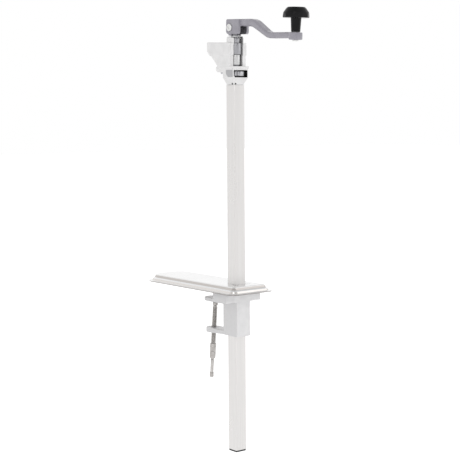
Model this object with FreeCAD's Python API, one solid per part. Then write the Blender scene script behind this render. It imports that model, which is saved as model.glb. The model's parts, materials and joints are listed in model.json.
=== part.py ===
import FreeCAD, Part
import math
import os

# Bench can opener that clamps to a table edge, in millimetres, +Z up.
# Everything is modelled about the post: the post's axis is X = Y = 0, the can stands on the
# +Y side, and the crank at rest points to -Y.  When a part is written it is moved so that the
# written origin is the middle of the face that sits on the table.

Vector = FreeCAD.Vector
X_AXIS = Vector(1, 0, 0)
Y_AXIS = Vector(0, 1, 0)
Z_AXIS = Vector(0, 0, 1)

# ---- driving dimensions -------------------------------------------------------------------
TABLE_FACE_Y = 44.5          # middle of the upper jaw's table face, from the post's axis
TABLE_FACE_Z = -7.6
RUNNING_GAP = 0.05           # radial clearance of every turning or sliding fit
SEAT_GAP = 0.02              # gap that keeps pushed-together pieces from overlapping

POST_SIDE = 20.0             # square tube
POST_WALL = 1.5
POST_CORNER = 1.0
POST_BOTTOM = -237.0
POST_TOP = 332.5
JOINT_GAP = 0.5              # open joint between the tube and the head

SLEEVE_HALF_X = 13.3         # sleeve of the clamp, round the post
WING_HALF_X = 33.8           # bar that carries the base plate
CLAMP_HALF_Y = 17.7          # sleeve and bar are equally deep
SLEEVE_BOTTOM = -55.6
WING_BOTTOM = -1.2
LINER_HALF = 11.4
JAW_HALF_X = 12.0            # both jaws, and the radius of their round ends
UPPER_JAW_END = 63.0         # centre of the round end
UPPER_JAW_TOP = -1.8
LOWER_JAW_END = 59.0
LOWER_JAW_TOP = -50.0
LOWER_JAW_DROP = 2.8         # its underside slopes down by this much along its length
SCREW_Y = 58.5               # clamp screw's axis in the middle of the lower jaw
SCREW_Z = -54.0
SCREW_LEAN = 5.4             # degrees; the screw's top leans towards the post
SCREW_TURN = 51.5            # degrees that the resting drop handle's hinge is turned from X
SCREW_RADIUS = 4.0

PLATE_HALF_X = 43.0          # pressed base plate
PLATE_FRONT = -44.0
PLATE_BACK = 200.0
PLATE_RIM_Z = 14.6
PLATE_TOP_Z = 25.5
PLATE_SHEET = 1.2
PLATE_FRONT_CORNER = 15.0
PLATE_BACK_CORNER = 33.0

PAD_RADIUS = 4.3             # swivel pad on the screw
PIVOT_Z = -38.3              # drop handle's hinge, along the screw from the lower jaw
HANDLE_LENGTH = 40.8
HANDLE_RADIUS = 2.6

BODY_HALF_X = 15.8           # head casting at the gear
BODY_FRONT = -13.7
CAN_FACE = 12.6              # face that the can's wall leans on
NECK_HALF_X = 16.3
NECK_FRONT = -7.1
BLOCK_HALF_X = 17.2          # striking block on top
BLOCK_FRONT = -8.0
BLOCK_BACK = 50.0
STEP_Z = 377.5               # underside of the striking block
BLOCK_TOP_Z = 396.6
BLOCK_RISE = 2.8             # the block's top climbs this much towards its free end
BOSS_RADIUS = 12.9
BOSS_TOP_Z = 404.3
LEDGE_BACK = 28.0
LEDGE_BOTTOM = 352.5
LEDGE_TOP = 361.0
BELT_BOTTOM = 357.5
BELT_RISE = 0.9              # how far the belt stands out from the body
CHANNEL_RADIUS = 9.4         # open channel that holds the arbor's bearing
MOUTH_HALF_X = 9.0           # the channel's mouth is narrower than the bearing, so it stays in
POCKET_BOTTOM = 344.2
POCKET_TOP = 354.9
POCKET_RADIUS = 13.9
POCKET_MOUTH_HALF_X = 13.2

JOURNAL_RADIUS = 5.95        # arbor
SHANK_RADIUS = 7.5
GEAR_RADIUS = 13.2
GEAR_TEETH = 20
TOOTH_DEPTH = 1.9
GEAR_BOTTOM = 346.2
GEAR_TOP = 353.4
GEAR_SEAT_RADIUS = 5.0
BEARING_BOTTOM = 378.9
BEARING_TOP = 396.2

PIN_Z = 419.6                # hinge pin of the crank
PIN_RADIUS = 3.0
DROOP = 2.5                  # the crank rests this many degrees below level
CLEVIS_HALF_X = 10.4
CLEVIS_BACK = 9.2
CLEVIS_FRONT = -21.4
CLEVIS_BOTTOM = -9.7         # from the pin
CLEVIS_TOP = 12.7
SLOT_HALF_X = 6.0
TONGUE_HALF_X = 5.7
CAM_RADIUS = 12.2
CAM_HALF_Y = 3.0
ARM_HALF_X = 7.5
ARM_ROOT_HALF = 5.6          # half the arm's thickness at the clevis
ARM_TIP_HALF = 4.5           # and at the knob
ARM_CHAMFER = 2.6
ARM_ROOT_Z = 7.2             # middle of the arm at the clevis, from the pin
ARM_TIP_Z = -12.0            # middle of the arm at the knob, from the pin
ARM_BOSS_Z = -13.4           # middle of the boss under the knob
BEND_START = 41.5            # distance from the pin at which the arm turns down
BEND_ANGLE = 28.0
BEND_RUN = 51.0
CRANK_LENGTH = 141.0         # pin to knob
ARM_BOSS_RADIUS = 10.0
ARM_BOSS_HALF = 5.3

SPINDLE_RADIUS = 3.5         # knob
STEM_BOTTOM_RADIUS = 6.7
STEM_TOP_RADIUS = 7.8
KNOB_RADIUS = 19.5
KNOB_FACETS = 10
KNOB_BOTTOM = -7.4           # from the pin, like every height on the crank
CAP_BOTTOM = 12.7
CAP_TOP = 28.1


# ---- shape helpers ------------------------------------------------------------------------
def box(x0, x1, y0, y1, z0, z1):
    return Part.makeBox(x1 - x0, y1 - y0, z1 - z0, Vector(x0, y0, z0))


def square_bar(half, z0, z1, corner):
    return rounded_bar(half, -half, half, z0, z1, corner)


def rounded_bar(half_x, y0, y1, z0, z1, corner):
    """Upright bar with a rounded rectangle as its section."""
    bar = box(-half_x, half_x, y0, y1, z0, z1)
    return bar.makeFillet(corner, upright_edges(bar))


def upright_edges(shape):
    return [edge for edge in shape.Edges if edge.BoundBox.ZLength > 0.1
            and edge.BoundBox.XLength < 0.01 and edge.BoundBox.YLength < 0.01]


def disc(radius, z0, z1, x=0.0, y=0.0):
    return Part.makeCylinder(radius, z1 - z0, Vector(x, y, z0))


def ring(outer, inner, z0, z1, x=0.0, y=0.0):
    return disc(outer, z0, z1, x, y).cut(disc(inner, z0 - 1, z1 + 1, x, y))


def bar_along_x(radius, x0, x1, y, z):
    return Part.makeCylinder(radius, x1 - x0, Vector(x0, y, z), X_AXIS)


def side_prism(points, x0, x1):
    """Closed outline of (y, z) points, pushed along X."""
    corners = [Vector(x0, y, z) for y, z in points]
    face = Part.Face(Part.makePolygon(corners + corners[:1]))
    return face.extrude(Vector(x1 - x0, 0, 0))


def turned(points):
    """Solid of revolution about Z from an outline of (radius, z) points."""
    corners = [Vector(radius, 0, z) for radius, z in points]
    face = Part.Face(Part.makePolygon(corners + corners[:1]))
    return face.revolve(Vector(0, 0, 0), Z_AXIS, 360)


def rounded_outline(half_x, y0, y1, z, front_corner, back_corner):
    """Closed wire: a rectangle with one corner radius in front and another behind."""
    diagonal = 1 - math.sqrt(0.5)
    corners = [(-half_x, y0, 1, 1, front_corner), (half_x, y0, -1, 1, front_corner),
               (half_x, y1, -1, -1, back_corner), (-half_x, y1, 1, -1, back_corner)]
    arcs = []
    for index, (x, y, inward_x, inward_y, radius) in enumerate(corners):
        beside = Vector(x, y + inward_y * radius, z)
        along = Vector(x + inward_x * radius, y, z)
        middle = Vector(x + inward_x * radius * diagonal, y + inward_y * radius * diagonal, z)
        first, last = (beside, along) if index % 2 == 0 else (along, beside)
        arcs.append((first, middle, last))
    edges = []
    for index, (first, middle, last) in enumerate(arcs):
        following = arcs[(index + 1) % len(arcs)][0]
        edges.append(Part.Arc(first, middle, last).toShape())
        edges.append(Part.LineSegment(last, following).toShape())
    return Part.Wire(edges)


def loft(*wires):
    return Part.makeLoft(list(wires), True, True)


# ---- clamp --------------------------------------------------------------------------------
WING_SCREW_X = 23.0
WING_SCREW_RADIUS = 2.5
WING_HEAD_RADIUS = 4.5
WING_HEAD_TOP = 4.0
NUT_HALF = 4.4
NUT_HEIGHT = 4.0
PLATE_UNDERSIDE = PLATE_TOP_Z - PLATE_SHEET
PAD_HALF_X = 28.0            # top pad of the casting, inside the hollow plate


def wing_screw_places():
    return [(side * WING_SCREW_X, 0.0) for side in (-1, 1)]


def jaw(end, top, root_bottom, end_bottom):
    """Flat tongue from the sleeve to a round end, with a level top."""
    root = CLAMP_HALF_Y - 4.0
    plan = box(-JAW_HALF_X, JAW_HALF_X, root, end, end_bottom - 1, top)
    plan = plan.fuse(disc(JAW_HALF_X, end_bottom - 1, top, 0.0, end))
    tip = end + JAW_HALF_X + 0.1
    side = side_prism([(root, root_bottom), (tip, end_bottom), (tip, top), (root, top)], -20, 20)
    return plan.common(side)


def make_clamp_casting():
    sleeve = rounded_bar(SLEEVE_HALF_X, -CLAMP_HALF_Y, CLAMP_HALF_Y, SLEEVE_BOTTOM, PLATE_RIM_Z, 1.2)
    wings = rounded_bar(WING_HALF_X, -CLAMP_HALF_Y, CLAMP_HALF_Y, WING_BOTTOM, PLATE_RIM_Z, 1.2)
    top_pad = rounded_bar(PAD_HALF_X, -CLAMP_HALF_Y, CLAMP_HALF_Y, PLATE_RIM_Z, PLATE_UNDERSIDE, 3.0)
    upper_jaw = jaw(UPPER_JAW_END, UPPER_JAW_TOP, TABLE_FACE_Z, TABLE_FACE_Z)
    lower_jaw = jaw(LOWER_JAW_END, LOWER_JAW_TOP, SLEEVE_BOTTOM, SLEEVE_BOTTOM - LOWER_JAW_DROP)
    gusset = side_prism([(13, UPPER_JAW_TOP - 2), (34, UPPER_JAW_TOP - 2), (CLAMP_HALF_Y, PLATE_RIM_Z),
                         (13, PLATE_RIM_Z)], -10.0, 10.0)
    casting = sleeve.fuse([wings, top_pad, upper_jaw, lower_jaw, gusset])
    bore = square_bar(LINER_HALF, SLEEVE_BOTTOM - 1, PLATE_UNDERSIDE + 1, 1.0)
    cuts = [bore, on_screw(disc(SCREW_RADIUS + RUNNING_GAP, -8, 8))]
    for x, y in wing_screw_places():
        cuts.append(disc(WING_SCREW_RADIUS + SEAT_GAP, WING_BOTTOM - 1, PLATE_UNDERSIDE + 1, x, y))
        cuts.append(disc(WING_HEAD_RADIUS + SEAT_GAP, WING_BOTTOM - 1, WING_HEAD_TOP, x, y))
        pocket = NUT_HALF + SEAT_GAP
        nut_bottom = PLATE_UNDERSIDE - NUT_HEIGHT
        cuts.append(box(x - pocket, x + pocket, y - pocket, y + pocket, nut_bottom, PLATE_UNDERSIDE + 1))
    return casting.cut(cuts).removeSplitter()


def make_sleeve_liner():
    hole = POST_SIDE / 2 + RUNNING_GAP
    outer = square_bar(LINER_HALF - SEAT_GAP, SLEEVE_BOTTOM + 0.5, PLATE_UNDERSIDE - 0.5, 1.0)
    inner = square_bar(hole, SLEEVE_BOTTOM - 1, PLATE_TOP_Z + 1, POST_CORNER)
    return outer.cut(inner)


def plate_outline(inset, z):
    return rounded_outline(PLATE_HALF_X - inset, PLATE_FRONT + inset, PLATE_BACK - inset, z,
                           PLATE_FRONT_CORNER - inset, PLATE_BACK_CORNER - inset)


def pressed_form(steps):
    """Stack of lofts through (inset, z) steps of the plate's outline."""
    levels = [plate_outline(inset, z) for inset, z in steps]
    layers = [loft(low, high) for low, high in zip(levels, levels[1:])]
    return layers[0].fuse(layers[1:])


def make_base_plate():
    """Pressed tray, upside down: a flat rim, a moulded step and a raised middle."""
    low = PLATE_RIM_Z
    rim = Part.Face(plate_outline(0.0, low)).extrude(Vector(0, 0, PLATE_SHEET))
    outer = pressed_form([(5.0, low + PLATE_SHEET), (7.0, low + 5.2), (9.0, low + 6.0),
                          (12.0, PLATE_TOP_Z)])
    hollow = pressed_form([(6.2, low - 0.5), (8.2, low + 4.0), (10.2, low + 4.8),
                           (13.2, PLATE_UNDERSIDE)])
    post_hole = square_bar(POST_SIDE / 2 + 0.5, low - 1, PLATE_TOP_Z + 1, 2.0)
    return rim.fuse(outer).cut(hollow).cut(post_hole)


def make_plate_screws():
    screws = []
    for x, y in wing_screw_places():
        head = disc(WING_HEAD_RADIUS, WING_BOTTOM + 0.3, WING_HEAD_TOP, x, y)
        socket = hexagon_prism(2.3, WING_BOTTOM - 1, WING_BOTTOM + 3.0, x, y)
        shank = disc(WING_SCREW_RADIUS, WING_HEAD_TOP, PLATE_UNDERSIDE - 0.3, x, y)
        screws.append(head.cut(socket).fuse(shank))
    return Part.makeCompound(screws)


def hexagon_prism(inner_radius, z0, z1, x, y):
    corner = inner_radius / math.cos(math.pi / 6)
    points = [Vector(x, y, z0) + Vector(math.cos(turn), math.sin(turn), 0) * corner
              for turn in [step * math.pi / 3 for step in range(6)]]
    return Part.Face(Part.makePolygon(points + points[:1])).extrude(Vector(0, 0, z1 - z0))


def make_plate_weld_nuts():
    """Square nuts welded under the base plate."""
    nuts = []
    for x, y in wing_screw_places():
        bottom = PLATE_UNDERSIDE - NUT_HEIGHT + SEAT_GAP
        nut = box(x - NUT_HALF, x + NUT_HALF, y - NUT_HALF, y + NUT_HALF,
                  bottom, PLATE_UNDERSIDE - SEAT_GAP)
        nuts.append(nut.cut(disc(WING_SCREW_RADIUS + SEAT_GAP, bottom - 1, PLATE_TOP_Z, x, y)))
    return Part.makeCompound(nuts)


# ---- clamp screw and its drop handle --------------------------------------------------------
# The screw and its handle are drawn upright about their own axis, with z = 0 in the lower jaw.
PAD_TOP = TABLE_FACE_Z - 2.1
PAD_HEIGHT = 5.5
TIP_RADIUS = 2.6
TIP_TOP = 42.4
THREAD_TOP = 38.2
THREAD_BOTTOM = -23.1
SHOULDER_BOTTOM = -29.0
SHOULDER_RADIUS = 5.1
FORK_BOTTOM = -48.6
FORK_HALF_Y = 4.7
FORK_HALF_X = 4.4
FORK_SLOT_HALF = 2.1
HANDLE_PIN_RADIUS = 1.9


def on_screw(shape):
    """Put a piece drawn about the screw in its place."""
    shape.rotate(Vector(0, 0, 0), Z_AXIS, SCREW_TURN)
    shape.rotate(Vector(0, 0, 0), X_AXIS, SCREW_LEAN)
    shape.translate(Vector(0, SCREW_Y, SCREW_Z))
    return shape


def make_screw_pad():
    """Level pad whose socket takes the leaning screw's tip."""
    centre_y = SCREW_Y - (PAD_TOP - SCREW_Z) * math.tan(math.radians(SCREW_LEAN))
    pad = disc(PAD_RADIUS, PAD_TOP - PAD_HEIGHT, PAD_TOP, 0.0, centre_y)
    pad = pad.makeChamfer(0.6, pad.Edges)
    return pad.cut(on_screw(disc(TIP_RADIUS + RUNNING_GAP, THREAD_TOP - 2, TIP_TOP + 0.2)))


def make_clamp_screw():
    thread = disc(SCREW_RADIUS, THREAD_BOTTOM, THREAD_TOP)
    tip = disc(TIP_RADIUS, THREAD_TOP, TIP_TOP)
    shoulder = disc(SHOULDER_RADIUS, SHOULDER_BOTTOM, THREAD_BOTTOM)
    fork = box(-FORK_HALF_X, FORK_HALF_X, -FORK_HALF_Y, FORK_HALF_Y, FORK_BOTTOM + FORK_HALF_Y,
               SHOULDER_BOTTOM + 1.0)
    fork_end = bar_along_x(FORK_HALF_Y, -FORK_HALF_X, FORK_HALF_X, 0.0, FORK_BOTTOM + FORK_HALF_Y)
    slot = box(-FORK_SLOT_HALF, FORK_SLOT_HALF, -9, 9, FORK_BOTTOM - 1, PIVOT_Z + 5.5)
    pin_hole = bar_along_x(HANDLE_PIN_RADIUS, -9, 9, 0.0, PIVOT_Z)
    return on_screw(thread.fuse([tip, shoulder, fork, fork_end]).cut([slot, pin_hole]).removeSplitter())


def make_handle_pin():
    half = FORK_HALF_X + SEAT_GAP
    shank = bar_along_x(HANDLE_PIN_RADIUS, -half, half, 0.0, PIVOT_Z)
    heads = [bar_along_x(2.7, -half - 1.0, -half, 0.0, PIVOT_Z),
             bar_along_x(2.7, half, half + 1.0, 0.0, PIVOT_Z)]
    return on_screw(shank.fuse(heads))


def make_clamp_handle():
    """Round rod with a flattened eye that hangs in the screw's fork."""
    eye_half = FORK_SLOT_HALF - 0.15
    eye = bar_along_x(4.3, -eye_half, eye_half, 0.0, PIVOT_Z)
    neck = box(-eye_half, eye_half, -HANDLE_RADIUS, HANDLE_RADIUS, PIVOT_Z - 14, PIVOT_Z)
    rod = disc(HANDLE_RADIUS, PIVOT_Z - HANDLE_LENGTH + 3.0, PIVOT_Z - 12.0)
    hole = bar_along_x(HANDLE_PIN_RADIUS + RUNNING_GAP, -9, 9, 0.0, PIVOT_Z)
    return on_screw(eye.fuse([neck, rod]).cut(hole).removeSplitter())


def make_handle_end_cap():
    end_z = PIVOT_Z - HANDLE_LENGTH
    barrel = disc(3.3, end_z, end_z + 8.0)
    barrel = barrel.makeFillet(1.0, barrel.Edges[:1] + barrel.Edges[2:])
    return on_screw(barrel.cut(disc(HANDLE_RADIUS, end_z + 3.0, end_z + 9.0)))


# ---- post -----------------------------------------------------------------------------------
INNER_HALF = POST_SIDE / 2 - POST_WALL
SPIGOT_HALF = INNER_HALF - SEAT_GAP
SPIGOT_BOTTOM = 300.0
SPIGOT_TOP = 342.0


def make_post_tube():
    outer = square_bar(POST_SIDE / 2, POST_BOTTOM, POST_TOP, POST_CORNER)
    return outer.cut(square_bar(INNER_HALF, POST_BOTTOM - 1, POST_TOP + 1, 0.6))


def make_post_end_cap():
    flange = square_bar(POST_SIDE / 2 - 0.4, POST_BOTTOM - 2.6, POST_BOTTOM, POST_CORNER)
    plug = square_bar(INNER_HALF - SEAT_GAP, POST_BOTTOM, POST_BOTTOM + 12.0, 0.8)
    hollow = square_bar(INNER_HALF - 2.0, POST_BOTTOM, POST_BOTTOM + 13.0, 0.8)
    return flange.fuse(plug.cut(hollow))


def make_post_spigot():
    return square_bar(SPIGOT_HALF, SPIGOT_BOTTOM, SPIGOT_TOP, 0.8)


# ---- head casting -----------------------------------------------------------------------------
SET_SCREW_RADIUS = 1.1
SET_SCREW_Z = 334.4
SET_SCREW_LENGTH = POST_SIDE / 2 + 0.6 - SPIGOT_HALF - SEAT_GAP
KNIFE_SCREW_X = 6.0
KNIFE_SCREW_Y = 20.6
KNIFE_SCREW_RADIUS = 1.7
LOWER_BUSH_RADIUS = 8.0
BODY_CORNER = 3.0
FLARE_TOP = 344.0
COLLAR_TOP = 335.0


def make_head_body():
    """Lower body: a collar on the tube, flaring out to the block round the gear."""
    half = POST_SIDE / 2
    collar = square_bar(half, POST_TOP + JOINT_GAP, COLLAR_TOP, POST_CORNER)
    flare = loft(rounded_outline(half, -half, half, COLLAR_TOP, POST_CORNER, POST_CORNER),
                 rounded_outline(BODY_HALF_X, BODY_FRONT, CAN_FACE, FLARE_TOP, BODY_CORNER, BODY_CORNER))
    block = rounded_bar(BODY_HALF_X, BODY_FRONT, CAN_FACE, FLARE_TOP, LEDGE_TOP, BODY_CORNER)
    return collar.fuse([flare, block])


def make_ledge():
    """Ledge over the can's rim, and a belt round the sides and front of the body."""
    lip_radius = 5.0
    lower = box(-BODY_HALF_X, BODY_HALF_X, CAN_FACE - 6.0, LEDGE_BACK, LEDGE_BOTTOM, LEDGE_TOP)
    under_edge = [edge for edge in lower.Edges if edge.BoundBox.YMin > LEDGE_BACK - 0.1
                  and edge.BoundBox.ZMax < LEDGE_BOTTOM + 0.1]
    lower = lower.makeFillet(lip_radius, under_edge)
    belt = rounded_bar(BODY_HALF_X + BELT_RISE, BODY_FRONT - BELT_RISE, LEDGE_BACK,
                       BELT_BOTTOM, LEDGE_TOP, 2.5)
    top_edges = [edge for edge in belt.Edges if edge.BoundBox.ZMin > LEDGE_TOP - 0.1]
    return lower.fuse(belt.makeChamfer(0.6, top_edges))


def make_neck():
    outline = [(NECK_FRONT, BELT_BOTTOM), (NECK_FRONT, STEP_Z + 1.0), (41.5, STEP_Z + 1.0),
               (24.5, LEDGE_TOP), (24.5, BELT_BOTTOM)]
    neck = side_prism(outline, -NECK_HALF_X, NECK_HALF_X)
    front_edges = [edge for edge in upright_edges(neck) if edge.BoundBox.YMax < 0]
    neck = neck.makeFillet(2.5, front_edges)
    slant = [edge for edge in neck.Edges if edge.BoundBox.YMin > 24.0 and edge.BoundBox.YLength > 10
             and edge.BoundBox.XLength < 0.01 and edge.BoundBox.ZLength > 10]
    return neck.makeFillet(2.5, slant)


def make_striking_block():
    outline = [(BLOCK_FRONT, STEP_Z), (BLOCK_FRONT, BLOCK_TOP_Z), (BLOCK_BACK, BLOCK_TOP_Z + BLOCK_RISE),
               (BLOCK_BACK, 386.0), (41.5, STEP_Z)]
    block = side_prism(outline, -BLOCK_HALF_X, BLOCK_HALF_X)
    block = block.makeFillet(2.5, upright_edges(block))
    top_edges = [edge for edge in block.Edges if edge.BoundBox.ZMin > BLOCK_TOP_Z - 0.1]
    return block.makeFillet(1.2, top_edges)


def side_shield():
    """Shallow shield-shaped recess in one side wall, level with the gear."""
    rear, front, top, depth = 3.7, -12.5, 356.2, 0.6
    outline = [Part.LineSegment(Vector(0, front, top), Vector(0, rear, top)),
               Part.LineSegment(Vector(0, rear, top), Vector(0, rear, 351.5)),
               Part.Arc(Vector(0, rear, 351.5), Vector(0, 1.2, 346.8), Vector(0, -5.5, POCKET_BOTTOM)),
               Part.LineSegment(Vector(0, -5.5, POCKET_BOTTOM), Vector(0, front, POCKET_BOTTOM)),
               Part.LineSegment(Vector(0, front, POCKET_BOTTOM), Vector(0, front, top))]
    wire = Part.Wire([edge.toShape() for edge in outline])
    wire.translate(Vector(-BODY_HALF_X - 1, 0, 0))
    return Part.Face(wire).extrude(Vector(1 + depth, 0, 0))


def set_screw_pose():
    """Outer end and direction of each grub screw, one in each of two faces."""
    out = POST_SIDE / 2 + 0.6
    return [(Vector(-out, -5.5, SET_SCREW_Z), X_AXIS), (Vector(-7.2, -out, SET_SCREW_Z), Y_AXIS)]


def make_head_casting():
    boss = disc(BOSS_RADIUS, BLOCK_TOP_Z - 3, BOSS_TOP_Z)
    boss = boss.makeFillet(0.8, [edge for edge in boss.Edges if edge.BoundBox.ZMin > BOSS_TOP_Z - 0.1])
    casting = make_head_body().fuse([make_ledge(), make_neck(), make_striking_block(), boss])
    cuts = [disc(CHANNEL_RADIUS, LEDGE_TOP, BOSS_TOP_Z + 1),
            box(-MOUTH_HALF_X, MOUTH_HALF_X, -30, 0, LEDGE_TOP, BOSS_TOP_Z + 1),
            disc(LOWER_BUSH_RADIUS + SEAT_GAP, POCKET_TOP - 1, LEDGE_TOP + 1),
            disc(POCKET_RADIUS, POCKET_BOTTOM, POCKET_TOP),
            box(-POCKET_MOUTH_HALF_X, POCKET_MOUTH_HALF_X, BODY_FRONT - 2, 0, POCKET_BOTTOM, POCKET_TOP),
            box(-8.5, 8.5, 0, CAN_FACE + 1, POCKET_BOTTOM, LEDGE_BOTTOM),
            side_shield(),
            square_bar(SPIGOT_HALF + SEAT_GAP, POST_TOP - 1, SPIGOT_TOP + SEAT_GAP, 0.8)]
    for start, direction in set_screw_pose():
        hole_start = start - direction * 4
        cuts.append(Part.makeCylinder(SET_SCREW_RADIUS, 4 + SET_SCREW_LENGTH, hole_start, direction))
    for x in (-KNIFE_SCREW_X, KNIFE_SCREW_X):
        cuts.append(disc(KNIFE_SCREW_RADIUS, LEDGE_BOTTOM - 1, LEDGE_BOTTOM + 8, x, KNIFE_SCREW_Y))
    return casting.cut(cuts).removeSplitter()


def make_head_set_screws():
    screws = []
    for start, direction in set_screw_pose():
        screw = Part.makeCylinder(SET_SCREW_RADIUS - SEAT_GAP, SET_SCREW_LENGTH, start, direction)
        screws.append(screw.cut(Part.makeCylinder(0.6, 1.2, start - direction * 0.1, direction)))
    return Part.makeCompound(screws)


# ---- knife ------------------------------------------------------------------------------------
KNIFE_HALF_X = 9.5
KNIFE_FRONT = 15.4
KNIFE_THICKNESS = 2.2
KNIFE_TIP_Z = 343.6
FOOT_BACK = 23.8
FOOT_BOTTOM = LEDGE_BOTTOM - 2.5


def make_knife_blade():
    """Bent plate: a foot screwed up under the ledge and a blade with a curved edge."""
    top = LEDGE_BOTTOM - SEAT_GAP
    y = KNIFE_FRONT
    edges = [Part.LineSegment(Vector(-KNIFE_HALF_X, y, top), Vector(KNIFE_HALF_X, y, top)),
             Part.LineSegment(Vector(KNIFE_HALF_X, y, top), Vector(KNIFE_HALF_X, y, 346.6)),
             Part.Arc(Vector(KNIFE_HALF_X, y, 346.6), Vector(7.6, y, 344.4), Vector(5.0, y, KNIFE_TIP_Z)),
             Part.Arc(Vector(5.0, y, KNIFE_TIP_Z), Vector(-4.6, y, 345.6), Vector(-KNIFE_HALF_X, y, 349.6)),
             Part.LineSegment(Vector(-KNIFE_HALF_X, y, 349.6), Vector(-KNIFE_HALF_X, y, top))]
    blade = Part.Face(Part.Wire([edge.toShape() for edge in edges])).extrude(Vector(0, KNIFE_THICKNESS, 0))
    ground = side_prism([(y - 1, KNIFE_TIP_Z - 1), (y + 0.2, KNIFE_TIP_Z - 1), (y - 0.1, KNIFE_TIP_Z + 2.6),
                         (y - 1, KNIFE_TIP_Z + 2.6)], -KNIFE_HALF_X - 1, KNIFE_HALF_X + 1)
    bevel = side_prism([(y + 0.6, KNIFE_TIP_Z - 1), (y + KNIFE_THICKNESS + 1, KNIFE_TIP_Z - 1),
                        (y + KNIFE_THICKNESS + 1, KNIFE_TIP_Z + 4.5)], -KNIFE_HALF_X - 1, KNIFE_HALF_X + 1)
    foot = box(-KNIFE_HALF_X, KNIFE_HALF_X, y, FOOT_BACK, FOOT_BOTTOM, top)
    knife = blade.cut(ground).cut(bevel).fuse(foot)
    for x in (-KNIFE_SCREW_X, KNIFE_SCREW_X):
        knife = knife.cut(disc(KNIFE_SCREW_RADIUS + 0.3, FOOT_BOTTOM - 1, top + 1, x, KNIFE_SCREW_Y))
        knife = knife.cut(Part.makeCone(2.8, 2.0, 1.6, Vector(x, KNIFE_SCREW_Y, FOOT_BOTTOM)))
    return knife.removeSplitter()


def make_knife_screws():
    screws = []
    for x in (-KNIFE_SCREW_X, KNIFE_SCREW_X):
        head = Part.makeCone(2.7, 1.9, 1.6, Vector(x, KNIFE_SCREW_Y, FOOT_BOTTOM + 0.05))
        shank = disc(KNIFE_SCREW_RADIUS - SEAT_GAP, FOOT_BOTTOM + 1.6, LEDGE_BOTTOM + 7, x, KNIFE_SCREW_Y)
        slot = box(x - 4, x + 4, KNIFE_SCREW_Y - 0.45, KNIFE_SCREW_Y + 0.45,
                   FOOT_BOTTOM - 1, FOOT_BOTTOM + 0.8)
        screws.append(head.fuse(shank).cut(slot))
    return Part.makeCompound(screws)


# ---- arbor, gear and bearings -------------------------------------------------------------------
SPACER_BOTTOM = 363.0
COLLAR_Z = (396.5, 403.8)
GEAR_PIN_RADIUS = 1.25
GEAR_PIN_Z = 349.6


def make_lower_bushing():
    return ring(LOWER_BUSH_RADIUS, JOURNAL_RADIUS + RUNNING_GAP, POCKET_TOP + 0.2, LEDGE_TOP - 0.2)


def make_upper_bushing():
    bush = disc(CHANNEL_RADIUS - RUNNING_GAP, BEARING_BOTTOM, BEARING_TOP)
    bush = bush.makeChamfer(0.5, bush.Edges)
    return bush.cut(disc(JOURNAL_RADIUS + RUNNING_GAP, BEARING_BOTTOM - 1, BEARING_TOP + 1))


def make_arbor_shaft():
    """Arbor with a collar on top and a tongue that carries the crank's pin."""
    low_collar, high_collar = COLLAR_Z
    shaft = turned([(0, GEAR_BOTTOM), (GEAR_SEAT_RADIUS, GEAR_BOTTOM), (GEAR_SEAT_RADIUS, GEAR_TOP),
                    (JOURNAL_RADIUS, GEAR_TOP), (JOURNAL_RADIUS, low_collar), (SHANK_RADIUS, low_collar),
                    (SHANK_RADIUS, high_collar - 0.6), (SHANK_RADIUS - 0.6, high_collar),
                    (JOURNAL_RADIUS, high_collar), (JOURNAL_RADIUS, PIN_Z), (0, PIN_Z)])
    eye = bar_along_x(JOURNAL_RADIUS - 0.1, -TONGUE_HALF_X, TONGUE_HALF_X, 0.0, PIN_Z)
    far = 3 * CLEVIS_HALF_X
    flats = [box(side * TONGUE_HALF_X, side * far, -far, far, BOSS_TOP_Z + 3.0, PIN_Z + far) if side > 0
             else box(side * far, side * TONGUE_HALF_X, -far, far, BOSS_TOP_Z + 3.0, PIN_Z + far)
             for side in (-1, 1)]
    hole = bar_along_x(PIN_RADIUS + RUNNING_GAP, -far, far, 0.0, PIN_Z)
    pin_hole = bar_along_x(GEAR_PIN_RADIUS, -far, far, 0.0, GEAR_PIN_Z)
    return shaft.fuse(eye).cut(flats + [hole, pin_hole]).removeSplitter()


def make_arbor_spacer():
    spacer = disc(SHANK_RADIUS, SPACER_BOTTOM, BEARING_BOTTOM - 0.2)
    spacer = spacer.makeChamfer(0.4, spacer.Edges)
    return spacer.cut(disc(JOURNAL_RADIUS + SEAT_GAP, SPACER_BOTTOM - 1, BEARING_BOTTOM + 1))


def make_drive_gear():
    """Coarse straight teeth that grip the outside of the can's rim."""
    root = GEAR_RADIUS - TOOTH_DEPTH
    pitch = 2 * math.pi / GEAR_TEETH
    corners = []
    for tooth in range(GEAR_TEETH):
        for share, radius in ((-0.42, root), (-0.14, GEAR_RADIUS), (0.14, GEAR_RADIUS), (0.42, root)):
            angle = (tooth + share) * pitch
            corners.append(Vector(radius * math.cos(angle), radius * math.sin(angle), GEAR_BOTTOM))
    blank = Part.Face(Part.makePolygon(corners + corners[:1])).extrude(Vector(0, 0, GEAR_TOP - GEAR_BOTTOM))
    edge = 0.7
    envelope = turned([(0, GEAR_BOTTOM), (GEAR_RADIUS - edge, GEAR_BOTTOM),
                       (GEAR_RADIUS + 0.1, GEAR_BOTTOM + edge), (GEAR_RADIUS + 0.1, GEAR_TOP - edge),
                       (GEAR_RADIUS - edge, GEAR_TOP), (0, GEAR_TOP)])
    seat = disc(GEAR_SEAT_RADIUS + SEAT_GAP, GEAR_BOTTOM - 1, GEAR_TOP + 1)
    pin_hole = bar_along_x(GEAR_PIN_RADIUS, -GEAR_RADIUS - 1, GEAR_RADIUS + 1, 0.0, GEAR_PIN_Z)
    return blank.common(envelope).cut([seat, pin_hole])


def make_gear_pin():
    half = GEAR_RADIUS - TOOTH_DEPTH - 0.6
    return bar_along_x(GEAR_PIN_RADIUS - SEAT_GAP, -half, half, 0.0, GEAR_PIN_Z)


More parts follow.
